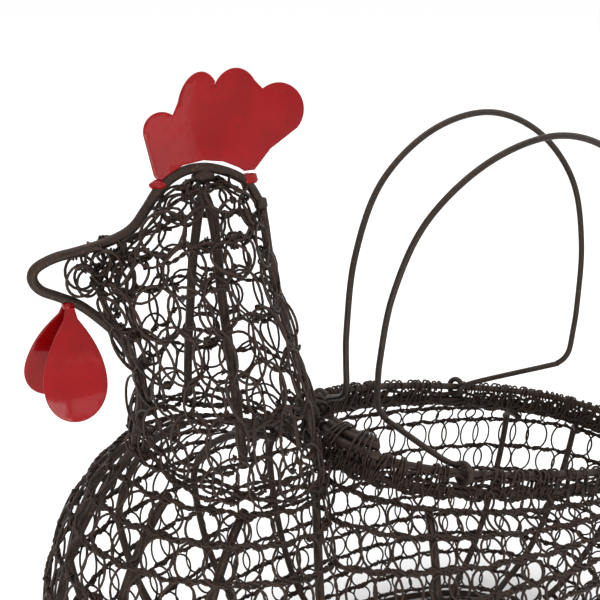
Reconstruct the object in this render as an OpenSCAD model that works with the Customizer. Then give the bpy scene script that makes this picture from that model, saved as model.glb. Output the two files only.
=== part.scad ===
// Hen-shaped wire basket: a frame of thick wires, sheets of looped mesh, a painted comb and
// wattles, and two bail handles hooked over the rim. X runs from the head to the tail, Y across
// the basket and Z up. The origin is under the middle of the basket, on the surface it stands on.

/* [Wires] */
// Diameter of the frame wires
frame_d = 3.8; // [3.4:0.1:4.2]
// Diameter of the handle wires
handle_d = 3; // [2.6:0.1:3.2]
// Diameter of the ties round the rim
tie_d = 1.2; // [0.8:0.1:1.4]
// Thickness of the looped mesh
mesh_t = 1.8; // [1.4:0.1:2.2]

/* [Opening] */
// Fall of the rim from the neck to the tail, in degrees
rim_slope = 16.3; // [12:0.1:18]
// Half of the rim's length
rim_l = 111; // [106:1:114]
// Half of the rim's width
rim_w = 48; // [44:1:52]
// Distance between the rim's upper and lower wires
rim_gap = 9; // [8.5:0.1:10]
// Height of the handles' hinge line over the datum plane
hinge_z = 108; // [100:1:114]

/* [Body] */
// Height of the datum plane, from which the modules measure their heights
datum_z = 55; // [50:1:60]
// Half of the body's length
belly_l = 179; // [174:1:182]
// Half of the body's width
belly_w = 88; // [82:1:94]
// Height of the widest part of the body over the datum plane
belly_z = 66; // [62:1:70]
// Half of the base ring's length
base_l = 104; // [96:1:110]
// Half of the base ring's width
base_w = 56; // [50:1:62]

/* [Handles] */
// Half of a handle's width
arch_w = 76; // [72:1:80]
// Height of a handle's arch
arch_h = 132; // [124:1:140]
// Height of the arch's feet over the rim
foot_rise = 27; // [24:1:30]

/* [Comb and wattles] */
// Thickness of the painted sheet
sheet_t = 0.9; // [0.7:0.1:1.2]
// Length of a wattle
wattle_l = 42; // [38:1:46]
// Half of a wattle's width
wattle_w = 13.5; // [10:0.5:14]

/* [Hidden] */
FRAME = "#2e2623";
MESH = "#3a2f2a";
HANDLE = "#33302e";
PAINT = "#b00014";

frame_r = frame_d / 2;
handle_r = handle_d / 2;
tie_r = tie_d / 2;
sides = 8;

hinge_x = 38;
rim_mid = 9.5;
rim_n = 2.4;
neck_mid = -147;
neck_l = 45;
neck_w = 38;
back_mid = -36;
back_l = 156.5;
body_mid = -13.5;
base_mid = -10;
edge_drop = 14.3;
edge_out = 4;
inset = mesh_t / 2 + frame_r + 1.2;
hoop_z = frame_d + frame_r - datum_z;
floor_z = 2 * frame_d + 1.4 - datum_z;
eye_r = 4.4;

// ---- Curves ----

function unit(v) = v / norm(v);
function signed_power(v, e) = sign(v) * pow(abs(v), e);
function mix(a, b, t) = a + (b - a) * t;

// Point t along the smooth curve through points, t from 0 to len(points) - 1.
function along(points, t) =
    let (
        n = len(points) - 1,
        i = min(floor(t), n - 1),
        f = t - i,
        a = points[i],
        b = points[i + 1],
        da = (b - points[max(i - 1, 0)]) / 2,
        db = (points[min(i + 2, n)] - a) / 2
    )
    a * (2 * f * f * f - 3 * f * f + 1) + da * (f * f * f - 2 * f * f + f)
    + b * (3 * f * f - 2 * f * f * f) + db * (f * f * f - f * f);

function smooth(points, steps) =
    [for (i = [0:steps]) along(points, i * (len(points) - 1) / steps)];

// Puts a point given along, across and above the rim's sloping plane into the basket's frame.
function on_slope(p) = [
    hinge_x + p[0] * cos(rim_slope) + p[2] * sin(rim_slope),
    p[1],
    hinge_z - p[0] * sin(rim_slope) + p[2] * cos(rim_slope)
];

function half_width(s, mid, l, w, n) =
    abs(s - mid) >= l ? 0 : w * pow(1 - pow(abs(s - mid) / l, n), 1 / n);
function rim_half(s) = half_width(s, rim_mid, rim_l, rim_w, rim_n);
function neck_half(s) = half_width(s, neck_mid, neck_l, neck_w, 2);

function rim_point(u, out, rise) = on_slope([
    rim_mid + (rim_l + out) * signed_power(cos(u), 2 / rim_n),
    (rim_w + out) * signed_power(sin(u), 2 / rim_n),
    rise
]);

// Where each handle hooks over the rim: distances along the slope of its two eyes.
left_eyes = [-87, 19.5];
right_eyes = [-50, 95];
function eye_point(s, side) = on_slope([s, side * rim_half(s), 0]);
function eye_angle(s, side) = atan2(
    signed_power(side * rim_half(s) / rim_w, rim_n / 2),
    signed_power((s - rim_mid) / rim_l, rim_n / 2)
);
eye_angles = [
    for (s = left_eyes) (eye_angle(s, 1) + 360) % 360,
    for (s = right_eyes) (eye_angle(s, -1) + 360) % 360
];

// Upper edge of the body's mesh: round the rim, and round the front of the neck.
function edge_point(u) =
    let (s = back_mid + back_l * cos(u))
    on_slope([
        s + edge_out * cos(u),
        signed_power(sin(u), 0.2)
        * (edge_out * abs(sin(u)) + pow(pow(rim_half(s), 4) + pow(neck_half(s), 4), 0.25)),
        -edge_drop
    ]);

function belly_point(u) = [
    body_mid + belly_l * signed_power(cos(u), 0.92),
    belly_w * signed_power(sin(u), 0.92),
    belly_z - 12 * cos(u)
];
function base_point(u) = [base_mid + base_l * cos(u), base_w * sin(u), hoop_z];

// The body's skin: v is 0 at the upper edge, 1 at the belly and 2 at the base.
function skin(u, v) =
    let (
        belly = belly_point(u),
        end = v < 1 ? edge_point(u) : base_point(u),
        a = 90 * (v < 1 ? v : 2 - v),
        straight = v < 1 ? 0.12 + 0.38 * pow(max(0, -cos(u)), 2) : 0.15,
        level = mix(sin(a), v < 1 ? v : 2 - v, straight),
        height = mix(1 - cos(a), v < 1 ? v : 2 - v, straight)
    )
    [mix(end[0], belly[0], level), mix(end[1], belly[1], level), mix(end[2], belly[2], height)];

function skin_normal(u, v) =
    let (du = 0.5, dv = 0.01, w = min(max(v, dv), 2 - dv))
    unit(cross(skin(u + du, w) - skin(u - du, w), skin(u, w - dv) - skin(u, w + dv)));
function skin_in(u, v, depth) = skin(u, v) - depth * skin_normal(u, v);

// Neck and head: front x and z, back x and z, and half width, from the shoulders to the crown.
neck_rows = [
    [-144.5, 152, -68.5, 127, 40],
    [-139.5, 176, -74, 164, 33.5],
    [-141.2, 192, -80.5, 190, 29],
    [-148.4, 211, -86.5, 213, 24],
    [-155, 229, -90, 232, 19.5],
    [-141.6, 240.5, -92, 246, 15],
    [-126.6, 255.8, -99, 256.6, 8.5],
    [-117, 261, -108, 261.4, 2]
];
function neck_skin(u, t, grow) =
    let (r = along(neck_rows, t), mid = [r[0] + r[2], r[1] + r[3]] / 2, half = [r[2] - r[0], r[3] - r[1]] / 2)
    [
        mid[0] + half[0] * cos(u) * (1 + grow / norm(half)),
        (r[4] + grow) * sin(u),
        mid[1] + half[1] * cos(u)
    ];

// Tail: a flattened horn that rises from the rump. Middle x and z, half length and half width.
tail_lean = 20;
tail_rows = [
    [169, 63, 8.5, 27],
    [172, 84, 10, 25],
    [176, 105, 10.5, 18],
    [181, 125, 8.5, 10],
    [185, 139, 4, 4]
];
function tail_skin(u, t, grow) =
    let (r = along(tail_rows, t))
    [
        r[0] + (r[2] + grow) * cos(u) * cos(tail_lean),
        (r[3] + grow) * sin(u),
        r[1] - (r[2] + grow) * cos(u) * sin(tail_lean)
    ];

// ---- Solids from curves ----

module on_datum() {
    translate([0, 0, datum_z])
    children();
}

// A round wire along path. The path never runs along side.
module wire(path, r, side, closed = false) {
    n = len(path);
    ring = [for (k = [0:sides - 1]) 360 * k / sides];
    points = [
        for (i = [0:n - 1])
        let (
            before = closed ? path[(i + n - 1) % n] : path[max(i - 1, 0)],
            after = closed ? path[(i + 1) % n] : path[min(i + 1, n - 1)],
            a = unit(cross(after - before, side)),
            b = unit(cross(after - before, a))
        )
        for (k = ring) path[i] + r * (cos(k) * a + sin(k) * b)
    ];
    spans = closed ? n : n - 1;
    walls = [
        for (i = [0:spans - 1], k = [0:sides - 1])
        let (p = i * sides, q = ((i + 1) % n) * sides, j = (k + 1) % sides)
        each [[p + k, q + k, q + j], [p + k, q + j, p + j]]
    ];
    caps = closed ? [] : [
        [for (k = [0:sides - 1]) k],
        [for (k = [0:sides - 1]) (n - 1) * sides + sides - 1 - k]
    ];
    polyhedron(points, concat(walls, caps));
}

// A thin sheet between two grids of points. Rows run round it, and join up when closed.
module sheet(outer, inner, closed = false) {
    rows = len(outer);
    cols = len(outer[0]);
    points = concat([for (r = outer) each r], [for (r = inner) each r]);
    far = rows * cols;
    last_col = closed ? cols - 1 : cols - 2;
    faces = [
        for (i = [0:rows - 2], j = [0:last_col])
        let (a = i * cols + j, b = i * cols + (j + 1) % cols, c = a + cols, d = b + cols)
        each [
            [a, d, b], [a, c, d],
            [far + a, far + b, far + d], [far + a, far + d, far + c]
        ]
    ];
    ends = [
        for (j = [0:last_col])
        let (a = j, b = (j + 1) % cols, c = a + far - cols, d = b + far - cols)
        each [
            [a, b, far + b], [a, far + b, far + a],
            [c, far + d, d], [c, far + c, far + d]
        ]
    ];
    flanks = closed ? [] : [
        for (i = [0:rows - 2])
        let (a = i * cols, b = a + cols, c = a + cols - 1, d = b + cols - 1)
        each [
            [a, far + a, far + b], [a, far + b, b],
            [c, far + d, far + c], [c, d, far + d]
        ]
    ];
    polyhedron(points, concat(faces, ends, flanks));
}

// ---- Frame ----

rim_steps = 64;

module rim_upper_wire() {
    color(FRAME)
    wire([for (i = [0:rim_steps - 1]) rim_point(360 * i / rim_steps, 0, 0)], frame_r,
        on_slope([0, 0, 1]) - on_slope([0, 0, 0]), true);
}

module rim_lower_wire() {
    color(FRAME)
    wire([for (i = [0:rim_steps - 1]) rim_point(360 * i / rim_steps, 1, -rim_gap)], frame_r,
        on_slope([0, 0, 1]) - on_slope([0, 0, 0]), true);
}

// One tie is a loop of thin wire round both rim wires.
tie_steps = 12;
tie_angles = [
    for (a = [8:15:353])
    if (min([for (e = eye_angles) abs((a - e + 540) % 360 - 180)]) > 6) a
];

module tie(u) {
    here = rim_point(u, 0.5, -rim_gap / 2);
    ahead = unit(rim_point(u + 1, 0.5, -rim_gap / 2) - here);
    up = on_slope([0, 0, 1]) - on_slope([0, 0, 0]);
    out = cross(ahead, up);
    reach = frame_r + tie_r + 0.9;
    wire([
        for (i = [0:tie_steps - 1])
        let (a = 360 * i / tie_steps)
        here + reach * cos(a) * out + (rim_gap / 2 * sign(sin(a)) + reach * sin(a)) * up
    ], tie_r, ahead, true);
}

module rim_ties() {
    color(MESH)
    for (u = tie_angles) tie(u);
}

// Ends of the frame rods laid on the rim beside the neck and lashed to it.
module rim_splice(from, to) {
    color(FRAME)
    for (k = [0:2])
        wire([
            for (t = [0:0.125:1])
            rim_point(mix(from, to, t) + 2 * k, 4.2 * k - 1, 6.4 - 2.2 * max(0, k - 1) - 0.2 * k)
        ], frame_r, [0, 0, 1]);
}
module rim_splice_left() { rim_splice(175, 160); }
module rim_splice_right() { rim_splice(184, 209); }

module base_ring() {
    color(FRAME)
    translate([base_mid, 0, frame_r - datum_z])
    wire([for (a = [0:6:354]) [base_l * cos(a), base_w * sin(a), 0]], frame_r, [0, 0, 1], true);
}

// A hoop runs from the rim down one side, under the base and up the other side.
function hoop_side(u) = [for (i = [0:20]) skin_in(u, mix(0.06, 1.88, i / 20), inset)];

module hoop(u) {
    under = [
        for (t = [0.95, 0.7, 0.35])
        [base_mid + (base_l - 6) * cos(u), (base_w - 6) * sin(u) * t, hoop_z + 0.2]
    ];
    half = concat(hoop_side(u), under);
    path = concat(half, [for (i = [len(half) - 1:-1:0]) [half[i][0], -half[i][1], half[i][2]]]);
    color(FRAME)
    wire(path, frame_r, [1, 0, 0]);
}
module hoop_1() { hoop(156); }
module hoop_2() { hoop(137); }
module hoop_3() { hoop(117); }
module hoop_4() { hoop(100); }
module hoop_5() { hoop(46); }
module hoop_6() { hoop(24); }

// Side view of the head, from the back of the crown over the beak to the throat.
head_line = [
    [-89.5, 250.5], [-92.5, 255.5], [-97, 260], [-104, 264], [-112, 266], [-121, 265], [-129, 260.5], [-135, 253], [-141, 246.5],
    [-150, 243], [-161, 241], [-170, 240], [-176, 237.5], [-178, 233.5], [-176, 229], [-170, 225],
    [-162, 219.5], [-154, 210.5], [-148.5, 202], [-144.5, 190], [-143, 176],
    [-145.6, 164], [-147.8, 153]
];

module head_and_breast_wire() {
    head = smooth(head_line, 60);
    breast = [for (v = [0.3:0.1:1.8]) let (p = skin_in(180, v, inset)) [p[0], p[2]]];
    path = concat(head, breast);
    color(FRAME)
    wire([for (p = path) [p[0], 0, p[1]]], frame_r, [0, 1, 0]);
}

module neck_back_wire() {
    line = smooth([[-88, 246.5], [-87.2, 240], [-85.5, 226], [-81, 206], [-74.5, 182], [-67, 156], [-63.5, 143]], 18);
    color(FRAME)
    wire([for (p = line) [p[0], 0, p[1]]], frame_r, [0, 1, 0]);
}

// A narrow hoop hung under the crown; its legs run down both sides of the neck.
module neck_hoop() {
    leg = [[-112, 2.5, 254], [-112, 9, 243], [-113, 16, 222], [-113, 23, 196], [-113, 28.5, 172], [-113, 32, 152]];
    up = smooth(leg, 15);
    path = concat([for (i = [len(up) - 1:-1:0]) up[i]], [for (p = up) [p[0], -p[1], p[2]]]);
    color(FRAME)
    wire(path, frame_r, [1, 0, 0]);
}

// The rear wire climbs the rump from the base ring to the foot of the tail.
module rear_wire() {
    rump = [for (v = [1.79:-0.0485:0.915]) skin_in(0, v, inset)];
    color(FRAME)
    wire(rump, frame_r, [0, 1, 0]);
}

// The tail's wires: a loop up one side and down the other, and a spine behind it.
module tail_wire() {
    side = [[169, 21, 66], [171.5, 19, 86], [175.5, 12, 106], [180, 6, 121]];
    up = smooth(side, 12);
    down = [for (i = [len(up) - 1:-1:0]) [up[i][0], -up[i][1], up[i][2]]];
    tip = [[181, 3.2, 126], [181, 0, 127.5], [181, -3.2, 126]];
    spine = smooth([[169, 0, 64], [172, 0, 84], [176, 0, 104], [179, 0, 120]], 12);
    color(FRAME) {
        wire(concat(up, tip, down), frame_r * 0.7, [1, 0, 0]);
        wire(spine, frame_r * 0.7, [0, 1, 0]);
    }
}

// ---- Painted sheets ----

// Part of an ellipse with radii r round c, leaning back by lean degrees.
function lobe(c, r, lean, from, to, steps) = [
    for (i = [0:steps])
    let (a = mix(from, to, i / steps), x = r[0] * cos(a), z = r[1] * sin(a))
    c + [x * cos(lean) + z * sin(lean), z * cos(lean) - x * sin(lean)]
];

// Outline of the comb: four round lobes over a foot that follows the crown.
comb_outline = concat(
    lobe([-126.8, 280.8], [7, 7], 0, 195, 52, 10),
    lobe([-112.6, 288.5], [8, 12.4], 10, 176, 50, 12),
    lobe([-98, 290], [9.6, 11.2], 0, 158, 34, 12),
    lobe([-80.8, 284.2], [10.8, 10.6], 0, 124, -42, 14),
    [[-95, 264.8], [-97.5, 263.9], [-104, 267.4], [-112, 268.8], [-120, 268], [-125, 266.1], [-128, 264.6]]
);

module comb() {
    color(PAINT)
    translate([0, sheet_t / 2, 0])
    rotate([90, 0, 0])
    linear_extrude(sheet_t)
    polygon(comb_outline);
}

// Outline of a wattle: a drop with a narrow tab at the top.
wattle_outline = concat([[-1.6, 1], [1.6, 1]], [
    for (i = [3:33])
    let (a = 10 * i, drop = (1 - cos(a)) / 2)
    [wattle_w * 1.1 * sin(a) * pow(drop, 0.45), -wattle_l * drop]
]);

// A wattle hangs from the lower beak, its foot out to the side and swung forward.
module wattle(side, spread, swing) {
    color(PAINT)
    translate([-167, side * (frame_r + 0.7), 220])
    rotate([side * spread, -swing, 0])
    translate([0, sheet_t / 2, 0])
    rotate([90, 0, 0])
    linear_extrude(sheet_t)
    polygon(wattle_outline);
}
module wattle_left() { wattle(1, 11, -13); }
module wattle_right() { wattle(-1, 14, -5); }

// ---- Mesh ----

module skin_panel(from, to, top, bottom, steps, rows) {
    grid = function (depth) [
        for (i = [0:rows])
        [for (j = [0:steps]) skin_in(mix(to, from, j / steps), mix(top, bottom, i / rows), depth)]
    ];
    color(MESH)
    sheet(grid(-mesh_t / 2), grid(mesh_t / 2));
}
module upper_panel(from, to, steps) { skin_panel(from, to, 0, 0.97, steps, 7); }
module lower_panel(from, to, steps) { skin_panel(from, to, 1.02, 1.96, steps, 10); }
module mesh_left_shoulder() { upper_panel(35.2, 144.8, 16); }
module mesh_left_flank() { lower_panel(35.2, 144.8, 16); }
module mesh_right_shoulder() { upper_panel(-144.8, -35.2, 16); }
module mesh_right_flank() { lower_panel(-144.8, -35.2, 16); }
module mesh_breast() { upper_panel(145.2, 214.8, 12); }
module mesh_belly() { lower_panel(145.2, 214.8, 12); }
module mesh_back() { upper_panel(-34.8, 34.8, 12); }
module mesh_rump() { lower_panel(-34.8, 34.8, 12); }

module mesh_base() {
    color(MESH)
    translate([base_mid, 0, floor_z])
    linear_extrude(mesh_t)
    polygon([for (a = [0:6:354]) [(base_l - 9) * cos(a), (base_w - 9) * sin(a)]]);
}

module neck_panel(from, to, rows) {
    turns = [for (j = [0:27]) 360 * j / 28];
    grid = function (grow) [
        for (i = [0:rows]) [for (u = turns) neck_skin(u, mix(from, to, i / rows), grow)]
    ];
    color(MESH)
    sheet(grid(mesh_t / 2), grid(-mesh_t / 2), true);
}
module mesh_neck() { neck_panel(0, 2.98, 7); }
module mesh_head() { neck_panel(3.02, 7, 9); }

module mesh_tail() {
    turns = [for (j = [0:23]) 360 * j / 24];
    grid = function (grow) [
        for (i = [0:9]) [for (u = turns) tail_skin(u, i * 4 / 9, grow)]
    ];
    color(MESH)
    sheet(grid(mesh_t / 2), grid(-mesh_t / 2), true);
}

// ---- Handles ----

// Half of the arch, from its foot to its top: share of the width and share of the height.
arch_half = [[0.955, 0], [0.975, 0.12], [0.985, 0.25], [0.955, 0.5], [0.8, 0.75], [0.45, 0.93], [0, 1]];

// The arch stands over the middle of the basket, turned back by skew and leaning outward.
function arch_point(side, shift, skew, lean, p) =
    let (
        x = arch_w * p[0],
        h = arch_h * p[1],
        up = x * sin(skew) + h * cos(skew)
    )
    on_slope([
        shift + x * cos(skew) - h * sin(skew),
        side * (2.5 + up * sin(lean)),
        foot_rise + up * cos(lean)
    ]);

// A rounded corner of the wire between two directions.
function corner(a, p, b, radius) =
    let (from = p + radius * unit(a - p), to = p + radius * unit(b - p))
    [for (t = [0.1, 0.35, 0.65, 0.9]) mix(mix(from, p, t), mix(p, to, t), t)];

function handle_path(side, eyes, shift, skew, lean) =
    let (
        front = [for (p = arch_half) [-p[0], p[1]]],
        back = [for (i = [len(arch_half) - 2:-1:0]) arch_half[i]],
        outline = smooth(concat(front, back), 42),
        arch = [for (p = outline) arch_point(side, shift, skew, lean, p)],
        n = len(arch),
        ends = [for (s = eyes) eye_point(s, side)],
        start = function (k, foot) ends[k] + eye_r * unit(foot - ends[k])
    )
    concat(
        [start(0, arch[0])],
        corner(ends[0], arch[0], arch[3], 9),
        [for (i = [2:n - 3]) arch[i]],
        corner(arch[n - 4], arch[n - 1], ends[1], 9),
        [start(1, arch[n - 1])]
    );

module eye(s, side, axis) {
    p = eye_point(s, side);
    turn = atan2(axis[1], axis[0]);
    dip = acos(axis[2]);
    translate(p)
    rotate([0, dip, turn])
    rotate_extrude($fn = 32)
    translate([eye_r, 0])
    circle(handle_r, $fn = 16);
}

module handle(side, eyes, shift, skew, lean) {
    axis = unit(eye_point(eyes[1], side) - eye_point(eyes[0], side));
    color(HANDLE)
    union() {
        wire(handle_path(side, eyes, shift, skew, lean), handle_r, [0, side, 1]);
        for (s = eyes) eye(s, side, axis);
    }
}
module handle_left() { handle(1, left_eyes, -20.8, 9, 8.8); }
module handle_right() { handle(-1, right_eyes, -3, 15.8, 7.3); }

on_datum() rim_upper_wire();
on_datum() rim_lower_wire();
on_datum() rim_ties();
on_datum() rim_splice_left();
on_datum() rim_splice_right();
on_datum() base_ring();
on_datum() hoop_1();
on_datum() hoop_2();
on_datum() hoop_3();
on_datum() hoop_4();
on_datum() hoop_5();
on_datum() hoop_6();
on_datum() head_and_breast_wire();
on_datum() neck_back_wire();
on_datum() neck_hoop();
on_datum() rear_wire();
on_datum() tail_wire();
on_datum() comb();
on_datum() wattle_left();
on_datum() wattle_right();
on_datum() mesh_left_shoulder();
on_datum() mesh_left_flank();
on_datum() mesh_right_shoulder();
on_datum() mesh_right_flank();
on_datum() mesh_breast();
on_datum() mesh_belly();
on_datum() mesh_back();
on_datum() mesh_rump();
on_datum() mesh_base();
on_datum() mesh_neck();
on_datum() mesh_head();
on_datum() mesh_tail();
on_datum() handle_left();
on_datum() handle_right();
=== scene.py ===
"""Looks of the hen-shaped wire basket: loops, ropes and knots of wire round a frame of thick wires.

Lengths in the helpers are in millimetres and heights are over the datum plane, as in the CAD source;
make_piece() turns them into metres in the CAD frame.
"""

import random
from math import cos, pi, radians, sin

import bmesh
import bpy
import numpy as np
from mathutils import Matrix, Vector


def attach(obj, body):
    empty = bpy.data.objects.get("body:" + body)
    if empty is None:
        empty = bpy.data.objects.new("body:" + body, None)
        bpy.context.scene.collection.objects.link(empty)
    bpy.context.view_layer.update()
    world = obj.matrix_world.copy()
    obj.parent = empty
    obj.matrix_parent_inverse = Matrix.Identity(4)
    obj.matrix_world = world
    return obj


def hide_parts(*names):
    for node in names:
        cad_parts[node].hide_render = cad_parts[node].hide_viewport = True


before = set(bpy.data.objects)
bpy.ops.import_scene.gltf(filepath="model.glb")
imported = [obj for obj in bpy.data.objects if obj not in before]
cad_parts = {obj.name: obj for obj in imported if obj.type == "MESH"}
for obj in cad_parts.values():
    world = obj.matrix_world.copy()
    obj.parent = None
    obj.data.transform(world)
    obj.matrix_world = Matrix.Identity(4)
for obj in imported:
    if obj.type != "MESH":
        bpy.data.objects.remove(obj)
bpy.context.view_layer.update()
dice = random.Random(7)

MM = 0.001
FRAME_R = 1.9
TAIL_WIRE_R = 1.33
HANDLE_R = 1.5
LOOP_R = 0.58
STRAND_R = 0.5
KNOT_WIRE_R = 0.45
WRAP_R = 0.58
LASHING_R = 0.55
TWIST = 7.5

# ---- Curves shared with the CAD model ----

RIM_SLOPE = radians(16.3)
HINGE_X, HINGE_Z = 38, 108
RIM_MID, RIM_L, RIM_W, RIM_N, RIM_GAP = 9.5, 111, 48, 2.4, 9
NECK_MID, NECK_L, NECK_W = -147, 45, 38
BACK_MID, BACK_L = -36, 156.5
BODY_MID, BELLY_L, BELLY_W, BELLY_Z = -13.5, 179, 88, 66
DATUM_Z = 55
BASE_MID, BASE_L, BASE_W, HOOP_Z = -10, 104, 56, 5.7 - DATUM_Z
EDGE_DROP, EDGE_OUT = 14.3, 4
INSET = 4.0
EYE_R = 4.4


def mix(a, b, t):
    return a + (b - a) * t


def unit(v):
    return v / np.linalg.norm(v)


def signed_power(v, e):
    return float(np.sign(v) * abs(v) ** e)


def sd(angle):
    return sin(radians(angle))


def cd(angle):
    return cos(radians(angle))


def on_slope(s, y, h):
    return np.array([
        HINGE_X + s * cos(RIM_SLOPE) + h * sin(RIM_SLOPE),
        y,
        HINGE_Z - s * sin(RIM_SLOPE) + h * cos(RIM_SLOPE),
    ])


SLOPE_UP = on_slope(0, 0, 1) - on_slope(0, 0, 0)


def half_width(s, mid, length, width, n):
    share = abs(s - mid) / length
    return 0.0 if share >= 1 else width * (1 - share ** n) ** (1 / n)


def rim_half(s):
    return half_width(s, RIM_MID, RIM_L, RIM_W, RIM_N)


def neck_half(s):
    return half_width(s, NECK_MID, NECK_L, NECK_W, 2)


def rim_point(u, out, rise):
    return on_slope(
        RIM_MID + (RIM_L + out) * signed_power(cd(u), 2 / RIM_N),
        (RIM_W + out) * signed_power(sd(u), 2 / RIM_N),
        rise,
    )


def edge_point(u, drop=EDGE_DROP, out=EDGE_OUT):
    s = BACK_MID + BACK_L * cd(u)
    width = (rim_half(s) ** 4 + neck_half(s) ** 4) ** 0.25
    return on_slope(s + out * cd(u), signed_power(sd(u), 0.2) * (out * abs(sd(u)) + width), -drop)


def belly_point(u):
    return np.array([
        BODY_MID + BELLY_L * signed_power(cd(u), 0.92),
        BELLY_W * signed_power(sd(u), 0.92),
        BELLY_Z - 12 * cd(u),
    ])


def base_point(u):
    return np.array([BASE_MID + BASE_L * cd(u), BASE_W * sd(u), HOOP_Z])


def skin(u, v):
    """The body's skin: v is 0 at the upper edge, 1 at the belly and 2 at the base."""
    if v < 0:
        return edge_point(u, EDGE_DROP * (1 + v), EDGE_OUT * (1 + v))
    t = v if v < 1 else 2 - v
    end = edge_point(u) if v < 1 else base_point(u)
    belly = belly_point(u)
    straight = 0.12 + 0.38 * max(0.0, -cd(u)) ** 2 if v < 1 else 0.15
    level = mix(sd(90 * t), t, straight)
    height = mix(1 - cd(90 * t), t, straight)
    return np.array([
        mix(end[0], belly[0], level),
        mix(end[1], belly[1], level),
        mix(end[2], belly[2], height),
    ])


def skin_normal(u, v):
    w = min(max(v, 0.01), 1.99)
    along_u = skin(u + 0.5, w) - skin(u - 0.5, w)
    along_v = skin(u, w - 0.01) - skin(u, w + 0.01)
    return unit(np.cross(along_u, along_v))


def skin_in(u, v, depth):
    return skin(u, v) - depth * skin_normal(u, v)


def smooth(points, steps):
    """Catmull-Rom curve through points."""
    p = np.array(points, float)
    spans = len(p) - 1
    t = np.linspace(0, spans, steps + 1)
    i = np.minimum(t.astype(int), spans - 1)
    f = (t - i)[:, None]
    a, b = p[i], p[i + 1]
    before, after = p[np.maximum(i - 1, 0)], p[np.minimum(i + 2, spans)]
    da, db = (b - before) / 2, (after - a) / 2
    return (
        a * (2 * f**3 - 3 * f**2 + 1) + da * (f**3 - 2 * f**2 + f)
        + b * (3 * f**2 - 2 * f**3) + db * (f**3 - f**2)
    )


# Neck and head, from the shoulders to the crown: front x and z, back x and z, half width.
NECK_ROWS = [
    [-144.5, 152, -68.5, 127, 40],
    [-139.5, 176, -74, 164, 33.5],
    [-141.2, 192, -80.5, 190, 29],
    [-148.4, 211, -86.5, 213, 24],
    [-155, 229, -90, 232, 19.5],
    [-141.6, 240.5, -92, 246, 15],
    [-126.6, 255.8, -99, 256.6, 8.5],
    [-117, 261, -108, 261.4, 2],
]
NECK_STEPS = 70
NECK_TABLE = smooth(NECK_ROWS, NECK_STEPS)

# Tail, from the rump to the tip: middle x and z, half depth, half width.
TAIL_LEAN = 20
TAIL_ROWS = [
    [169, 63, 8.5, 27],
    [172, 84, 10, 25],
    [176, 105, 10.5, 18],
    [181, 125, 8.5, 10],
    [185, 139, 4, 4],
]
TAIL_STEPS = 40
TAIL_TABLE = smooth(TAIL_ROWS, TAIL_STEPS)


def table_row(table, t, top):
    """Row t of a smoothed table, where t runs from 0 to top."""
    at = min(max(t, 0), top) / top * (len(table) - 1)
    i = min(int(at), len(table) - 2)
    return mix(table[i], table[i + 1], at - i)


def neck_skin(u, t):
    r = table_row(NECK_TABLE, t, len(NECK_ROWS) - 1)
    return np.array([
        mix(r[0], r[2], (1 + cd(u)) / 2),
        r[4] * sd(u),
        mix(r[1], r[3], (1 + cd(u)) / 2),
    ])


def plump_neck(u, t):
    """The neck's mesh as woven: it bulges over the frame wires, most at the throat."""
    swell = max(0.0, 1 - abs(t - 1.6) / 3.4)
    out = 1.2 + (4.2 if cd(u) < 0 else 2.6) * swell
    return neck_skin(u, t) + out * np.array([cd(u), sd(u), 0.0])


def tail_skin(u, t):
    r = table_row(TAIL_TABLE, t, len(TAIL_ROWS) - 1)
    return np.array([
        r[0] + r[2] * cd(u) * cd(TAIL_LEAN),
        r[3] * sd(u),
        r[1] - r[2] * cd(u) * sd(TAIL_LEAN),
    ])


def floor_skin(u, t):
    """The base: t counts rows from the base ring inward."""
    inward = 1 + 11.5 * t
    return np.array([BASE_MID + (BASE_L - inward) * cd(u), (BASE_W - inward) * sd(u), 8.6 - DATUM_Z])


def normal_of(surface, u, v):
    along_u = surface(u + 1, v) - surface(u - 1, v)
    along_v = surface(u, v - 0.02) - surface(u, v + 0.02)
    return unit(np.cross(along_u, along_v))


# ---- Meshes from curves ----

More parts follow.
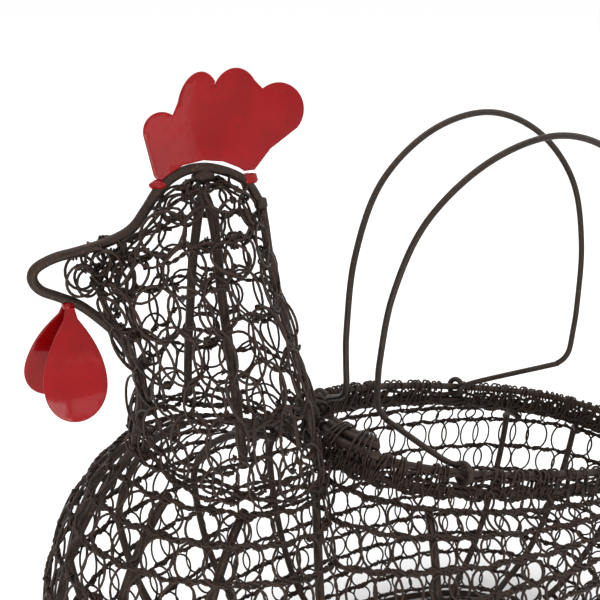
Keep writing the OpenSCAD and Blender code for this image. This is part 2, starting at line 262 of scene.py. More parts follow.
class Wires:
    """Collects round wires and makes one piece of them."""

    def __init__(self):
        self.points = []
        self.faces = []
        self.count = 0

    def add(self, path, r, side, closed=False, sides=6):
        """A round wire along path. side is a direction, or one per point, never along the path."""
        p = np.array(path, float)
        n = len(p)
        if closed:
            t = np.roll(p, -1, 0) - np.roll(p, 1, 0)
        else:
            t = np.gradient(p, axis=0)
        side = np.broadcast_to(np.array(side, float), p.shape)
        a = np.cross(t, side)
        a /= np.linalg.norm(a, axis=1)[:, None] + 1e-12
        b = np.cross(t, a)
        b /= np.linalg.norm(b, axis=1)[:, None] + 1e-12
        ring = np.arange(sides) * 2 * pi / sides
        radius = np.broadcast_to(np.array(r, float), (n,))[:, None, None]
        rings = p[:, None] + radius * (
            np.cos(ring)[None, :, None] * a[:, None] + np.sin(ring)[None, :, None] * b[:, None]
        )
        self.points.append(rings.reshape(-1, 3))
        spans = n if closed else n - 1
        i = np.arange(spans)[:, None]
        k = np.arange(sides)[None, :]
        here, there = i * sides, ((i + 1) % n) * sides
        j = (k + 1) % sides
        quads = np.stack([here + k, here + j, there + j, there + k], -1).reshape(-1, 4)
        self.faces.append(quads + self.count)
        self.count += n * sides
        if not closed:
            first_tip = p[0] - 0.4 * r_of(r, 0) * unit(t[0])
            last_tip = p[-1] + 0.4 * r_of(r, -1) * unit(t[-1])
            for at, end in ((first_tip, 0), (last_tip, n - 1)):
                self.points.append(at[None])
                k = np.arange(sides)
                first, second = end * sides + k, end * sides + (k + 1) % sides
                fan = np.stack([np.full(sides, n * sides), second, first, first], -1)
                if end:
                    fan = np.stack([np.full(sides, n * sides + 1), first, second, second], -1)
                self.faces.append(fan + self.count - n * sides)
            self.count += 2

    def piece(self, name, material, slot, body="basket", replaces=()):
        points = np.concatenate(self.points) * MM
        faces = np.concatenate(self.faces)
        return make_piece(name, points, faces, material, body, replaces)


def r_of(r, i):
    return r if np.isscalar(r) else r[i]


def make_piece(name, points, faces, material, body, replaces):
    points = points + np.array([0, 0, DATUM_Z * MM])
    mesh = bpy.data.meshes.new(name)
    rows = faces if isinstance(faces, list) else [f[:3] if f[2] == f[3] else f for f in faces.tolist()]
    mesh.from_pydata(points.tolist(), [], rows)
    mesh.polygons.foreach_set("use_smooth", [True] * len(mesh.polygons))
    mesh.materials.append(material)
    mesh.update()
    obj = bpy.data.objects.new(name, mesh)
    bpy.context.scene.collection.objects.link(obj)
    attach(obj, body)
    if replaces:
        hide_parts(*replaces)
    return obj


def jitter(amount):
    return dice.uniform(-amount, amount)


def loop_path(centre, a, b, ra, rb, turn, steps=22):
    """A nearly round loop of wire, its two ends crossing at the top and running off along a."""
    n = np.cross(a, b)
    out = []
    span = 360 + 2 * turn
    for i in range(steps + 1):
        f = i / steps
        angle = -turn + span * f
        lift = (f - 0.5) * 1.5
        out.append(centre + ra * sd(angle) * a - rb * cd(angle) * b + lift * n)
    return np.array(out)


def knot(wires, centre, axis, normal, r=1.05, turns=1.6):
    """A short wrap of thin wire round axis."""
    other = np.cross(axis, normal)
    start = dice.uniform(0, 360)
    steps = int(9 * turns)
    path = []
    for i in range(steps + 1):
        a = start + 360 * turns * i / steps
        path.append(centre + r * (cd(a) * normal + sd(a) * other) + axis * (i / steps - 0.5) * 1.1 * turns)
    wires.add(path, KNOT_WIRE_R, axis, sides=5)


def rope(wires, line, normals, twist=TWIST, apart=0.5, strands=2):
    """Strands twisted round line, one turn in each twist of length."""
    line = np.array(line)
    normals = np.array(normals)
    steps = np.linalg.norm(np.diff(line, axis=0), axis=1)
    run = np.concatenate([[0], np.cumsum(steps)])
    length = run[-1]
    count = max(4, int(length / twist * 7))
    at = np.linspace(0, length, count + 1)
    p = np.stack([np.interp(at, run, line[:, k]) for k in range(3)], 1)
    n = np.stack([np.interp(at, run, normals[:, k]) for k in range(3)], 1)
    n /= np.linalg.norm(n, axis=1)[:, None]
    t = np.gradient(p, axis=0)
    t /= np.linalg.norm(t, axis=1)[:, None]
    o = np.cross(t, n)
    for k in range(strands):
        phase = 2 * pi * (at / twist + k / strands)
        path = p + apart * (np.cos(phase)[:, None] * n + np.sin(phase)[:, None] * o)
        wires.add(path, STRAND_R, n, sides=5)


def row_angles(surface, v, u_from, u_to, spacing, shift):
    """Angles round a row at equal distances along it."""
    us = np.linspace(u_from, u_to, 181)
    line = np.array([surface(u, v) for u in us])
    run = np.concatenate([[0], np.cumsum(np.linalg.norm(np.diff(line, axis=0), axis=1))])
    count = max(3, round(run[-1] / spacing))
    at = (np.arange(count) + shift) / count * run[-1]
    return np.interp(at, run, us), run[-1] / count


def weave_row(loops, ropes, surface, top, bottom, spacing, wild=0.0, u_from=-180, u_to=180, shift=0.5,
              pick=None, fat=1.0):
    """One row of loops between two ropes, tied to both."""
    middle = (top + bottom) / 2
    angles, pitch = row_angles(surface, middle, u_from, u_to, spacing, shift)
    for u in angles:
        u = u + jitter(1.2 + wild * 3)
        n = normal_of(surface, u, middle)
        high, low = surface(u, top), surface(u, bottom)
        b = unit(high - low)
        a = unit(np.cross(b, n))
        n = np.cross(a, b)
        tall = np.linalg.norm(high - low)
        tilt = radians(jitter(7 + 30 * wild))
        n2 = n * cos(tilt) + a * sin(tilt)
        a2 = np.cross(b, n2)
        lean = radians(jitter(5 + 20 * wild))
        a3, b3 = a2 * cos(lean) + b * sin(lean), b * cos(lean) - a2 * sin(lean)
        ra = pitch * fat * (0.5 + jitter(0.03 + 0.08 * wild))
        rb = tall * (0.51 + jitter(0.025 + 0.05 * wild))
        centre = (high + low) / 2 + n * (0.4 + jitter(0.5 + 2 * wild)) + b * jitter(0.5 + 1.5 * wild)
        target = loops if pick is None else pick(u)
        target.add(loop_path(centre, a3, b3, ra, rb, 16 + jitter(10)), LOOP_R + jitter(0.04), n2)
        if dice.random() < 0.9:
            knot(ropes, centre - b3 * rb + n * 0.2, unit(a3 + jitter(0.3) * b3), n)
        if dice.random() < 0.55:
            knot(ropes, centre + b3 * rb + n * 0.3, unit(a3 + jitter(0.6) * b3), n)


def weave_rope(ropes, surface, v, waves, height, out=0.5, wild=0.0):
    """A wavy twisted rope round a surface."""
    count = 480
    phase = dice.uniform(0, 360)
    us = np.linspace(-180, 180, count + 1)
    line, normals = [], []
    for u in us:
        wave = height * sd(waves * u + phase) + 0.25 * height * sd(round(0.37 * waves) * u)
        n = normal_of(surface, u, v)
        down = unit(surface(u, v + 0.02) - surface(u, v - 0.02))
        line.append(surface(u, v) + down * wave + n * (out + wild * sd(5.3 * waves * u / 4)))
        normals.append(n)
    rope(ropes, line, normals, twist=TWIST + jitter(1))


# ---- Materials ----

def material(name, rough):
    m = bpy.data.materials.new(name)
    m.use_nodes = True
    nodes, links = m.node_tree.nodes, m.node_tree.links
    shader = nodes["Principled BSDF"]
    shader.inputs["Roughness"].default_value = rough
    return m, nodes, links, shader


def noise(nodes, links, place, scale, detail=3.0, roughness=0.55):
    n = nodes.new("ShaderNodeTexNoise")
    n.inputs["Scale"].default_value = scale
    n.inputs["Detail"].default_value = detail
    n.inputs["Roughness"].default_value = roughness
    links.new(place.outputs["Object"], n.inputs["Vector"])
    return n


def ramp(nodes, links, source, stops):
    r = nodes.new("ShaderNodeValToRGB")
    r.color_ramp.elements[0].position = stops[0][0]
    r.color_ramp.elements[0].color = stops[0][1]
    r.color_ramp.elements[1].position = stops[-1][0]
    r.color_ramp.elements[1].color = stops[-1][1]
    for at, colour in stops[1:-1]:
        r.color_ramp.elements.new(at).color = colour
    links.new(source, r.inputs["Fac"])
    return r


def bump(nodes, links, source, shader, strength, distance):
    b = nodes.new("ShaderNodeBump")
    b.inputs["Strength"].default_value = strength
    b.inputs["Distance"].default_value = distance
    links.new(source, b.inputs["Height"])
    links.new(b.outputs["Normal"], shader.inputs["Normal"])


def rgb(r, g, b):
    return (r, g, b, 1)


def grey(level):
    return rgb(level, level, level)


def wire_material(name, dark, mid, rust, scale, rough):
    """Dark painted wire with rubbed brown patches and fine rust specks."""
    m, nodes, links, shader = material(name, rough)
    place = nodes.new("ShaderNodeTexCoord")
    patches = noise(nodes, links, place, scale)
    specks = noise(nodes, links, place, scale * 7, 4)
    base = ramp(nodes, links, patches.outputs["Fac"], [(0.38, rgb(*dark)), (0.62, rgb(*mid))])
    spots = ramp(nodes, links, specks.outputs["Fac"], [(0.58, grey(0)), (0.72, grey(1))])
    blend = nodes.new("ShaderNodeMix")
    blend.data_type = "RGBA"
    links.new(spots.outputs["Color"], blend.inputs["Factor"])
    links.new(base.outputs["Color"], blend.inputs["A"])
    blend.inputs["B"].default_value = rgb(*rust)
    links.new(blend.outputs["Result"], shader.inputs["Base Color"])
    wear = ramp(nodes, links, patches.outputs["Fac"], [(0.3, grey(rough - 0.1)), (0.7, grey(rough + 0.14))])
    links.new(wear.outputs["Color"], shader.inputs["Roughness"])
    shader.inputs["Specular IOR Level"].default_value = 0.34
    shader.inputs["Specular Tint"].default_value = rgb(1.0, 0.74, 0.62)
    bump(nodes, links, specks.outputs["Fac"], shader, 0.35, 0.0003)
    return m


def paint_material():
    """Glossy red paint with dark pin holes, an uneven gloss and a fine grain."""
    m, nodes, links, shader = material("red_paint", 0.3)
    place = nodes.new("ShaderNodeTexCoord")
    cloud = noise(nodes, links, place, 60, 3)
    base = ramp(nodes, links, cloud.outputs["Fac"], [
        (0.35, rgb(0.19, 0.0006, 0.0014)), (0.65, rgb(0.235, 0.0009, 0.0025)),
    ])
    pits = nodes.new("ShaderNodeTexVoronoi")
    pits.inputs["Scale"].default_value = 330
    links.new(place.outputs["Object"], pits.inputs["Vector"])
    holes = ramp(nodes, links, pits.outputs["Distance"], [(0.06, grey(1)), (0.15, grey(0))])
    areas = noise(nodes, links, place, 110, 1)
    some = ramp(nodes, links, areas.outputs["Fac"], [(0.52, grey(0)), (0.58, grey(1))])
    both = nodes.new("ShaderNodeMath")
    both.operation = "MULTIPLY"
    links.new(holes.outputs["Color"], both.inputs[0])
    links.new(some.outputs["Color"], both.inputs[1])
    blend = nodes.new("ShaderNodeMix")
    blend.data_type = "RGBA"
    links.new(both.outputs["Value"], blend.inputs["Factor"])
    links.new(base.outputs["Color"], blend.inputs["A"])
    blend.inputs["B"].default_value = rgb(0.05, 0.004, 0.004)
    links.new(blend.outputs["Result"], shader.inputs["Base Color"])
    stretched = nodes.new("ShaderNodeMapping")
    stretched.inputs["Scale"].default_value = (1.0, 1.0, 0.7)
    links.new(place.outputs["Object"], stretched.inputs["Vector"])
    brushed = nodes.new("ShaderNodeTexNoise")
    brushed.inputs["Scale"].default_value = 520
    brushed.inputs["Detail"].default_value = 3
    links.new(stretched.outputs["Vector"], brushed.inputs["Vector"])
    gloss = ramp(nodes, links, brushed.outputs["Fac"], [(0.4, grey(0.05)), (0.7, grey(0.22))])
    links.new(gloss.outputs["Color"], shader.inputs["Coat Roughness"])
    shader.inputs["Specular IOR Level"].default_value = 0.03
    shader.inputs["Coat Weight"].default_value = 0.4
    bump(nodes, links, brushed.outputs["Fac"], shader, 0.3, 0.0002)
    return m


FRAME_WIRE = wire_material(
    "frame_wire", dark=(0.007, 0.0048, 0.0042), mid=(0.016, 0.0105, 0.008), rust=(0.075, 0.036, 0.019),
    scale=90, rough=0.5,
)
MESH_WIRE = wire_material(
    "mesh_wire", dark=(0.007, 0.0046, 0.004), mid=(0.017, 0.010, 0.0076), rust=(0.06, 0.03, 0.019),
    scale=160, rough=0.45,
)
HANDLE_WIRE = wire_material(
    "handle_wire", dark=(0.008, 0.0068, 0.006), mid=(0.017, 0.0135, 0.011), rust=(0.05, 0.03, 0.02),
    scale=90, rough=0.48,
)
RED_PAINT = paint_material()

# ---- Frame wires ----


def wobble(path, amount):
    """Small smooth bends, as wire bent by hand has."""
    path = np.array(path, float)
    a, b, c = (dice.uniform(0, 6) for _ in range(3))
    i = np.arange(len(path))
    path[:, 0] += amount * np.sin(i * 0.23 + a)
    path[:, 1] += amount * np.sin(i * 0.19 + b)
    path[:, 2] += amount * np.sin(i * 0.27 + c)
    return path


def frame_wire(name, path, side, closed=False, shake=0.12):
    """A wire of the frame in place of the CAD node of the same name."""
    w = Wires()
    w.add(wobble(path, shake), FRAME_R, side, closed, sides=14)
    w.piece(name + "_look", FRAME_WIRE, "frame_wire", replaces=[name])


RIM_TURN = np.arange(0, 360, 1.5)
frame_wire("rim_upper_wire", [rim_point(u, 0, 0) for u in RIM_TURN], SLOPE_UP, True, 0.1)
frame_wire("rim_lower_wire", [rim_point(u, 1, -RIM_GAP) for u in RIM_TURN], SLOPE_UP, True, 0.1)
frame_wire(
    "base_ring",
    [[BASE_MID + BASE_L * cd(u), BASE_W * sd(u), FRAME_R - DATUM_Z] for u in np.arange(0, 360, 2)],
    (0, 0, 1), True, 0,
)

HOOPS = [156, 137, 117, 100, 46, 24]
HOOP_IN = 6
for number, u in enumerate(HOOPS, 1):
    down = [skin_in(u, mix(0.02, 1.88, i / 30), INSET) for i in range(31)]
    under = [
        [BASE_MID + (BASE_L - HOOP_IN) * cd(u), (BASE_W - HOOP_IN) * sd(u) * share, HOOP_Z + 0.2]
        for share in (0.95, 0.7, 0.35)
    ]
    half = smooth(down + under, 70)
    other = half[::-1] * np.array([1, -1, 1])
    frame_wire(f"hoop_{number}", np.concatenate([half, other]), (1, 0, 0), shake=0.15)

HEAD_LINE = [
    [-89.5, 250.5], [-92.5, 255.5], [-97, 260], [-104, 264], [-112, 266], [-121, 265], [-129, 260.5],
    [-135, 253], [-141, 246.5], [-150, 243], [-161, 241], [-170, 240], [-176, 237.5], [-178, 233.5],
    [-176, 229], [-170, 225], [-162, 219.5], [-154, 210.5], [-148.5, 202], [-144.5, 190], [-143, 176],
    [-145.6, 164], [-147.8, 153],
]
head = smooth(HEAD_LINE, 110)
breast = [skin_in(180, v, INSET)[[0, 2]] for v in np.arange(0.3, 1.88, 0.05)]
frame_wire("head_and_breast_wire", smooth([[p[0], 0, p[1]] for p in list(head) + breast], 240), (0, 1, 0))
NECK_BACK = [[-88, 246.5], [-87.2, 240], [-85.5, 226], [-81, 206], [-74.5, 182], [-67, 156], [-63.5, 143]]
frame_wire("neck_back_wire", smooth([[x, 0, z] for x, z in NECK_BACK], 50), (0, 1, 0))
LEG = [[-112, 2.5, 254], [-112, 9, 243], [-113, 16, 222], [-113, 23, 196], [-113, 28.5, 172], [-113, 32, 152]]
frame_wire("neck_hoop", smooth([[x, -y, z] for x, y, z in LEG[::-1]] + LEG, 80), (1, 0, 0), shake=0.15)
rump = [skin_in(0, v, INSET) for v in np.arange(1.88, 0.88, -0.05)]
frame_wire("rear_wire", smooth(rump, 80), (0, 1, 0))
SIDE = [[167.5, 22.5, 60], [171.5, 19, 86], [175.5, 12, 106], [180, 6, 121], [181, 0, 127.5]]
SPINE = [[163, 0, 58], [169, 0, 66], [172, 0, 84], [176, 0, 104], [179.5, 0, 121], [183, 0, 133]]
tail_wires = Wires()
over = smooth(SIDE + [[x, -y, z] for x, y, z in SIDE[-2::-1]], 70)
tail_wires.add(wobble(over, 0.12), TAIL_WIRE_R, (1, 0, 0), sides=12)
tail_wires.add(wobble(smooth(SPINE, 50), 0.12), TAIL_WIRE_R, (0, 1, 0), sides=12)
tail_wires.piece("tail_wire_look", FRAME_WIRE, "frame_wire", replaces=["tail_wire"])

# ---- Rim wraps and lashings ----

LEFT_EYES, RIGHT_EYES = [-87, 19.5], [-50, 95]


def eye_point(s, side):
    return on_slope(s, side * rim_half(s), 0)


EYES = [eye_point(s, 1) for s in LEFT_EYES] + [eye_point(s, -1) for s in RIGHT_EYES]


def clear_of_eyes(p, room):
    return min(np.linalg.norm(p - e) for e in EYES) > room


def wrap_rim():
    """Thin wire wound round both rim wires, tight in most places, and ropes woven along them."""
    wires = Wires()
    u = 0.0
    while u < 360:
        here = rim_point(u, 0.5, -RIM_GAP / 2)
        ahead = unit(rim_point(u + 1, 0.5, -RIM_GAP / 2) - here)
        out = np.cross(ahead, SLOPE_UP)
        lean = jitter(3)
        reach = FRAME_R + 0.65 + dice.uniform(0, 0.7)
        if clear_of_eyes(rim_point(u, 0, 0), 8):
            path = []
            for i in range(17):
                a = 360 * i / 16
                up = RIM_GAP / 2 * max(-1, min(1, 1.6 * sd(a))) + reach * sd(a) * 0.95
                along = lean * sd(a) + 1.4 * i / 16
                path.append(here + reach * cd(a) * out + up * SLOPE_UP + ahead * along)
            wires.add(path, WRAP_R, ahead)
        u += dice.choice([0.9, 1.1, 1.4, 1.8, 2.6, 3.2])
    ropes = (
        (-RIM_GAP / 2 - 0.6, 2.5, 9), (-RIM_GAP / 2 + 1, -1.6, 9), (-RIM_GAP - 1.8, 2.4, 9),
        (-RIM_GAP + 1.2, 2.6, 7), (-1.2, 2.5, 8), (-RIM_GAP - 3.2, 1.4, 8), (-RIM_GAP - 1, -1.8, 8),
    )
    for depth, out, twist in ropes:
        phase = dice.uniform(0, 360)
        us = np.arange(0, 361, 2)
        line = [rim_point(u, out, depth + 1.1 * sd(round(17 + 2 * twist) * u + phase)) for u in us]
        rope(wires, line, [SLOPE_UP] * len(us), twist=twist)
    wires.piece("rim_wraps", MESH_WIRE, "mesh_wire", replaces=["rim_ties"])


wrap_rim()


def splice(name, start, end):
    """Three rod ends lashed on top of the rim."""
    wires, ties = Wires(), Wires()
    for k in range(3):
        path = [
            rim_point(mix(start, end, t) + 2 * k, 4.2 * k - 1, 6.4 - 2.2 * max(0, k - 1) - 0.2 * k)
            for t in np.linspace(0, 1, 14)
        ]
        wires.add(wobble(path, 0.1), FRAME_R, (0, 0, 1), sides=14)
    wires.piece(name + "_rods", FRAME_WIRE, "frame_wire", replaces=[name])
    for t in (0.2, 0.27, 0.34, 0.62, 0.7, 0.78, 0.86):
        u = mix(start, end, t) + 2
        here = rim_point(u, 3, 4.6)
        ahead = unit(rim_point(u + 1, 3, 4.6) - here)
        out = np.cross(ahead, SLOPE_UP)
        path = [
            here + 8.2 * cd(a) * out + 4.6 * sd(a) * SLOPE_UP - 1.2 * cd(a) * SLOPE_UP
            + ahead * (1.5 * a / 360 + jitter(0.3))
            for a in range(0, 361, 24)
        ]
        ties.add(path, LASHING_R, ahead)
    ties.piece(name + "_lashing", MESH_WIRE, "mesh_wire")


splice("rim_splice_left", 175, 160)
splice("rim_splice_right", 184, 209)

# ---- Looped mesh of the body ----

SPACING = 12.3
ROWS = [0.07, 0.264, 0.458, 0.652, 0.846, 1.03, 1.15, 1.26, 1.37, 1.48, 1.59, 1.7, 1.82, 1.97]
PANELS = {
    "left_flank": (35, 145), "breast": (145, 215), "right_flank": (215, 325), "rump": (325, 395),
}
PANEL_NODES = {
    "left_flank": ["mesh_left_shoulder", "mesh_left_flank"],
    "breast": ["mesh_breast", "mesh_belly"],
    "right_flank": ["mesh_right_shoulder", "mesh_right_flank"],
    "rump": ["mesh_back", "mesh_rump"],
}


def ring_length(surface, v):
    """Length of the line round a surface at v."""
    line = np.array([surface(u, v) for u in range(0, 361, 4)])
    return np.linalg.norm(np.diff(line, axis=0), axis=1).sum()


def body_mesh():
    """The body's rows of loops, one piece for each pair of CAD nodes, and all its ropes in one piece."""
    loops = {name: Wires() for name in PANELS}
    ropes = Wires()

    def panel(u):
        turned = u % 360
        if turned < PANELS["left_flank"][0]:
            turned += 360
        for name, (low, high) in PANELS.items():
            if low <= turned < high:
                return loops[name]

    for row, (top, bottom) in enumerate(zip(ROWS[:-1], ROWS[1:])):
        weave_row(None, ropes, skin, top, bottom, SPACING, 0.05, shift=0.5 * (row % 2), pick=panel, fat=1.02)
        weave_rope(ropes, skin, top, round(ring_length(skin, top) / SPACING), 1.1)
        weave_rope(ropes, skin, top, round(ring_length(skin, top) / SPACING / 2), 0.7, out=1.0)
    weave_row(None, ropes, skin, -0.62, ROWS[0], SPACING, 0.1, -122, 122, pick=panel)
    weave_rope(ropes, skin, ROWS[-1], 20, 0.4)
    for name, wires in loops.items():
        wires.piece(f"loops_{name}", MESH_WIRE, "mesh_wire", replaces=PANEL_NODES[name])
    ropes.piece("ropes_body", MESH_WIRE, "mesh_wire")


body_mesh()


def floor_mesh():
    loops, ropes = Wires(), Wires()
    for row in range(5):
        weave_row(loops, ropes, floor_skin, row, min(row + 1, 4.7), SPACING, 0.03, shift=0.5 * (row % 2))
        weave_rope(ropes, floor_skin, row, 12, 0.6, out=0)
    loops.piece("loops_base", MESH_WIRE, "mesh_wire", replaces=["mesh_base"])
    ropes.piece("ropes_base", MESH_WIRE, "mesh_wire")


floor_mesh()


# Loops that reach into the beak: x, z and radius.
BEAK_LOOPS = [
    (-161, 231, 6.4), (-155, 237, 5.2), (-151, 227, 6.0), (-153, 234, 6.6), (-147, 230, 6.2),
    (-158, 228.5, 5.0), (-149, 238, 5.0),
]


def neck_mesh():
    """Rows of large and small tangled loops, ropes at the neck's foot and loose loops in the beak."""
    loops, ropes = Wires(), Wires()
    rows = [0, 0.6, 1.2, 2.1, 3.0, 3.9, 4.8, 5.7, 6.6]
    for row, (top, bottom) in enumerate(zip(rows[1:], rows[:-1])):
        lift = 0.12 if row else 0.06
        weave_row(
            loops, ropes, plump_neck, top + lift, bottom - (lift if row else 0), SPACING * 1.05, 0.42,
            shift=0.5 * (row % 2), fat=1.16,
        )
        weave_row(loops, ropes, plump_neck, top - 0.1, bottom + 0.05, SPACING * 3.1, 1.0, shift=0.3, fat=0.36)
        if row % 2:
            weave_rope(ropes, plump_neck, top, 9 + row % 3, 2.2, wild=1.0)
    for extra in range(4):
        weave_rope(ropes, plump_neck, 0.04 + 0.09 * extra, 7 + extra, 1.5, out=0.2 + 0.8 * extra, wild=0.8)
    for x, z, r in BEAK_LOOPS:
        for side in (-1, 1):
            n = unit(np.array([jitter(0.7), side, jitter(0.5)]))
            a = unit(np.cross(n, (0, 0, 1)))
            b = np.cross(n, a)
            y = side * dice.uniform(1, 6) * min(1, (x + 168) / 12)
            path = loop_path(np.array([x + jitter(1), y, z + jitter(1)]), a, b, r * 0.86, r, 14 + jitter(9))
            loops.add(path, LOOP_R, n)
            knot(ropes, path[0], a, n)
    loops.piece("loops_neck", MESH_WIRE, "mesh_wire", replaces=["mesh_neck", "mesh_head"])
    ropes.piece("ropes_neck", MESH_WIRE, "mesh_wire")


neck_mesh()


def tail_foot(u, t):
    """From the tail's lower edge, t 0, to the rump's mesh, t 1."""
    return mix(tail_skin(u, 0), skin(15 * sd(u), 0.4 + 0.3 * cd(u)), t)


def tail_mesh():
    loops, ropes = Wires(), Wires()
    rows = [0, 0.62, 1.26, 1.9, 2.54, 3.18, 3.78]
    for row, (top, bottom) in enumerate(zip(rows[1:], rows[:-1])):
        weave_row(loops, ropes, tail_skin, top, bottom, SPACING, 0.2, shift=0.5 * (row % 2), fat=1.05)
        weave_rope(ropes, tail_skin, top, 5, 0.9)
    weave_rope(ropes, tail_skin, 0, 6, 0.9)
    weave_rope(ropes, tail_skin, 3.78, 4, 0.3)
    weave_row(loops, ropes, tail_foot, 0.02, 0.98, SPACING, 0.2, fat=1.05)
    weave_rope(ropes, tail_foot, 0.97, 6, 0.6)
    loops.piece("loops_tail", MESH_WIRE, "mesh_wire", replaces=["mesh_tail"])
    ropes.piece("ropes_tail", MESH_WIRE, "mesh_wire")


tail_mesh()

# ---- Handles ----

ARCH_W, ARCH_H, FOOT_RISE = 76, 132, 27
ARCH_HALF = [[0.955, 0], [0.975, 0.12], [0.985, 0.25], [0.955, 0.5], [0.8, 0.75], [0.45, 0.93], [0, 1]]


def handle(name, body, side, eyes, shift, skew, lean):
    """One bail: an arch over the rim, bent in at both feet into bars that end in eyes."""
    def arch_point(p):
        x, h = ARCH_W * p[0], ARCH_H * p[1]
        up = x * sd(skew) + h * cd(skew)
        return on_slope(
            shift + x * cd(skew) - h * sd(skew), side * (2.5 + up * sd(lean)), FOOT_RISE + up * cd(lean)
        )

    ends = [eye_point(s, side) for s in eyes]
    axis = unit(ends[1] - ends[0])
    outline = smooth([[-x, h] for x, h in ARCH_HALF] + ARCH_HALF[-2::-1], 42)
    arch = [arch_point(p) for p in outline]

    def corner(a, p, b, radius=9):
        start, end = p + radius * unit(a - p), p + radius * unit(b - p)
        return [mix(mix(start, p, t), mix(p, end, t), t) for t in (0.0, 0.2, 0.4, 0.6, 0.8, 1.0)]

    def eye(centre, foot):
        """From the bar round the rim wire and nearly back to the bar."""
        toward = foot - centre
        first = unit(toward - axis * np.dot(toward, axis))
        second = np.cross(axis, first)
        points = [centre + unit(toward) * 10]
        points += [
            centre + EYE_R * (cd(a) * first + sd(a) * second) + axis * 0.5 * (a - 180) / 180
            for a in range(40, 356, 21)
        ]
        return points

    line = eye(ends[0], arch[0])[::-1] + corner(ends[0], arch[0], arch[3]) + arch[3:-3]
    line += corner(arch[-4], arch[-1], ends[1]) + eye(ends[1], arch[-1])
    path = smooth(line, 4 * len(line))
    w = Wires()
    tangents = np.gradient(path, axis=0)
    sides = []
    reference = unit(np.cross(tangents[0], (0.3, 0.5, 0.8)))
    for t in tangents:
        t = unit(t)
        reference = unit(reference - t * np.dot(reference, t))
        sides.append(reference)
    w.add(path, HANDLE_R, sides, sides=14)
    w.piece(name + "_look", HANDLE_WIRE, "handle_wire", body, [name])


handle("handle_left", "left_handle", 1, LEFT_EYES, -20.8, 9, 8.8)
handle("handle_right", "right_handle", -1, RIGHT_EYES, -3, 15.8, 7.3)

# ---- Painted comb and wattles ----

SHEET_T = 0.9


def lobe(cx, cz, rx, rz, lean, start, end, steps):
    """Part of an ellipse leaning forward, from angle start to angle end."""
    out = []
    for i in range(steps + 1):
        a = mix(start, end, i / steps)
        x, z = rx * cd(a), rz * sd(a)
        out.append([cx + x * cd(lean) + z * sd(lean), cz + z * cd(lean) - x * sd(lean)])
    return out


def painted_sheet(name, outline, grid, warp, place, replaces):
    """A sheet with rounded edges, filled with a grid of points. warp gives its depth."""
    outline = [np.array(p, float) for p in outline]
    count = len(outline)
    normals = []
    for i, p in enumerate(outline):
        t = outline[(i + 1) % count] - outline[i - 1]
        normals.append(unit(np.array([t[1], -t[0]])))
    area = sum(outline[i - 1][0] * p[1] - p[0] * outline[i - 1][1] for i, p in enumerate(outline))
    inward = -1 if area > 0 else 1
    bm = bmesh.new()
    rings = []
    for inset, depth in ((0.45, 0.5), (0.1, 0.36), (0, 0), (0.1, -0.36), (0.45, -0.5)):
        ring = [p + inward * inset * n for p, n in zip(outline, normals)]
        rings.append([bm.verts.new((q[0], q[1], depth * SHEET_T)) for q in ring])
    for high, low in zip(rings[:-1], rings[1:]):
        for i in range(count):
            j = (i + 1) % count
            bm.faces.new([high[i], high[j], low[j], low[i]])
    for ring in (rings[0], rings[-1]):
        inner = [bm.edges.get((ring[i], ring[(i + 1) % count])) for i in range(count)]
        made = bmesh.ops.triangle_fill(bm, edges=inner, use_beauty=True)["geom"]
        faces = [f for f in made if isinstance(f, bmesh.types.BMFace)]
        for axis in (0, 1):
            low = min(v.co[axis] for v in ring)
            high = max(v.co[axis] for v in ring)
            steps = int((high - low) / grid)
            for k in range(1, steps + 1):
                at = [0, 0, 0]
                at[axis] = low + k * grid
                facing = [0, 0, 0]
                facing[axis] = 1
                faces = [f for f in faces if f.is_valid]
                edges = list({e for f in faces for e in f.edges})
                geom = faces + edges + list({v for f in faces for v in f.verts})
                cut = bmesh.ops.bisect_plane(bm, geom=geom, plane_co=at, plane_no=facing)["geom"]
                faces = [f for f in cut if isinstance(f, bmesh.types.BMFace)]
    bmesh.ops.recalc_face_normals(bm, faces=bm.faces)
    bm.verts.index_update()
    points = np.array([place(v.co[0], v.co[1], v.co[2] + warp(v.co[0], v.co[1])) for v in bm.verts])
    faces = [[v.index for v in f.verts] for f in bm.faces]
    bm.free()
    return make_piece(name, points * MM, faces, RED_PAINT, "basket", replaces)


COMB_OUTLINE = (
    lobe(-126.8, 280.8, 7, 7, 0, 195, 52, 14) + lobe(-112.6, 288.5, 8, 12.4, 10, 176, 50, 16)
    + lobe(-98, 290, 9.6, 11.2, 0, 158, 34, 16) + lobe(-80.8, 284.2, 10.8, 10.6, 0, 124, -42, 20)
    + [[-84, 270], [-91, 262.5], [-95.5, 262.6], [-97.5, 264.2], [-104, 267.4], [-112, 268.8], [-120, 267.8],
       [-125, 265], [-128.5, 261.2], [-131, 265]]
)
painted_sheet(
    "comb_look", COMB_OUTLINE, 4,
    lambda x, z: 0.35 * sin((x + 100) * 0.13) + 0.3 * sin((z - 280) * 0.17 + 1) * cos((x + 110) * 0.08),
    lambda x, z, d: (x, d, z), ["comb"],
)

WATTLE_L, WATTLE_W = 42, 13.5


def wattle(name, side, spread, swing):
    outline = [[-1.6, 1.0], [1.6, 1.0]]
    for i in range(6, 61):
        a = 5.45 * i
        drop = (1 - cd(a)) / 2
        outline.append([WATTLE_W * 1.1 * sd(a) * drop ** 0.45, -WATTLE_L * drop])
    turn = Matrix.Rotation(radians(-swing), 3, "Y") @ Matrix.Rotation(radians(side * spread), 3, "X")
    foot = Vector((-167, side * (FRAME_R + 0.7), 220))

    def place(x, z, d):
        return tuple(foot + turn @ Vector((x, side * d, z)))

    def warp(x, z):
        return 0.9 * (1 - (x / WATTLE_W) ** 2) * min(1, max(0, -z / WATTLE_L)) + 0.15 * sin(z * 0.35)

    painted_sheet(name + "_look", outline, 3, warp, place, [name])


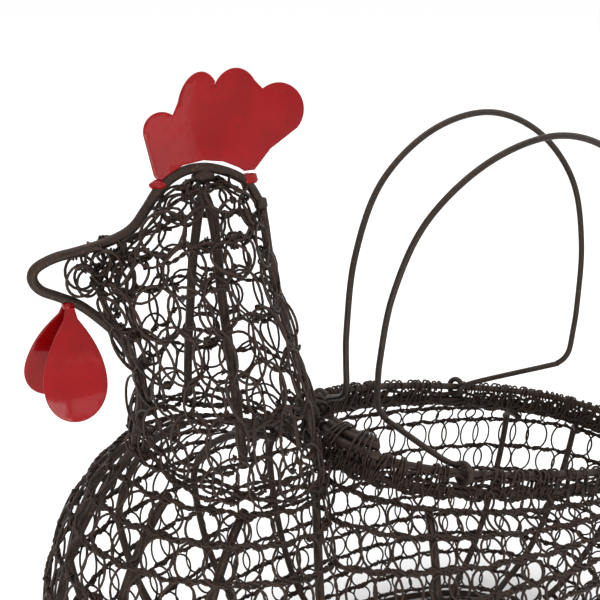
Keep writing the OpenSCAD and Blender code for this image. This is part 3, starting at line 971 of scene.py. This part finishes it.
wattle("wattle_left", 1, 11, -13)
wattle("wattle_right", -1, 14, -5)


def blob(name, centre, size, mat):
    """A lump of weld."""
    rows, cols = 7, 12
    points, faces = [], []
    phase = dice.uniform(0, 6)
    for i in range(rows + 1):
        lat = pi * i / rows
        for j in range(cols):
            lon = 2 * pi * j / cols
            r = 1 + 0.16 * sin(3 * lon + phase) * sin(lat) + 0.1 * cos(5 * lat + phase)
            points.append([
                centre[0] + size[0] * r * sin(lat) * cos(lon),
                centre[1] + size[1] * r * sin(lat) * sin(lon),
                centre[2] + size[2] * r * cos(lat),
            ])
    for i in range(rows):
        for j in range(cols):
            k = (j + 1) % cols
            faces.append([i * cols + j, (i + 1) * cols + j, (i + 1) * cols + k, i * cols + k])
    make_piece(name, np.array(points) * MM, np.array(faces), mat, "basket", [])


blob("comb_weld_front", (-129.5, 0, 261.6), (3.2, 2.3, 2.0), RED_PAINT)
blob("comb_weld_rear", (-93.5, 0, 259.4), (3.4, 2.3, 2.4), RED_PAINT)
blob("wattle_weld", (-167, 0, 221.4), (2.6, 3.2, 1.8), RED_PAINT)
blob("crown_weld", (-112, 0, 262.8), (4.2, 3.4, 3.2), FRAME_WIRE)
blob("nape_weld", (-89, 0, 248.8), (2.8, 2.8, 2.8), FRAME_WIRE)

# ---- Stage ----

TABLE_FAR = 40
floor_data = bpy.data.meshes.new("studio_floor")
corners = [(x * TABLE_FAR, y * TABLE_FAR, 0) for x, y in ((-1, -1), (1, -1), (1, 1), (-1, 1))]
floor_data.from_pydata(corners, [], [(0, 1, 2, 3)])
floor_piece = bpy.data.objects.new("studio_floor", floor_data)
bpy.context.scene.collection.objects.link(floor_piece)
floor_paint, _, _, floor_shader = material("studio_floor", 0.9)
floor_shader.inputs["Base Color"].default_value = grey(0.94)
floor_shader.inputs["Specular IOR Level"].default_value = 0.0
floor_data.materials.append(floor_paint)


def area_light(name, place, target, width, height, watts):
    data = bpy.data.lights.new(name, "AREA")
    data.shape = "RECTANGLE"
    data.size = width
    data.size_y = height
    data.energy = watts
    obj = bpy.data.objects.new(name, data)
    obj.location = place
    obj.rotation_euler = (Vector(target) - Vector(place)).to_track_quat("-Z", "Y").to_euler()
    bpy.context.scene.collection.objects.link(obj)


area_light("front_card", (0.07, -0.93, 0.10), (0.07, 0, 0.16), 0.24, 0.18, 0.2)
area_light("low_card", (-0.27, -0.42, 0.11), (-0.165, 0, 0.235), 0.3, 0.22, 0.9)
area_light("key", (-0.9, -1.0, 1.5), (0, 0, 0.15), 0.8, 0.8, 4)
area_light("fill", (1.4, -0.7, 1.0), (0, 0, 0.15), 1.0, 1.0, 4)
area_light("top", (0.1, 0.5, 2.0), (0, 0.2, 0.1), 1.8, 1.8, 16)

world = bpy.data.worlds.new("studio")
bpy.context.scene.world = world
world.use_nodes = True
world.node_tree.nodes["Background"].inputs["Color"].default_value = grey(1)
world.node_tree.nodes["Background"].inputs["Strength"].default_value = 1.05
bpy.context.scene.view_settings.view_transform = "Standard"

EYE_PLACE = Vector((-0.21357, -0.27639, 0.34205 + DATUM_Z * MM))
HEADING, DIP = radians(27.22), radians(23.99)
ahead = Vector((sin(HEADING) * cos(DIP), cos(HEADING) * cos(DIP), -sin(DIP)))
camera_data = bpy.data.cameras.new("camera")
camera_data.lens = 48
camera_data.sensor_width = 36
camera = bpy.data.objects.new("camera", camera_data)
camera.location = EYE_PLACE
camera.rotation_euler = ahead.to_track_quat("-Z", "Y").to_euler()
bpy.context.scene.collection.objects.link(camera)
bpy.context.scene.camera = camera
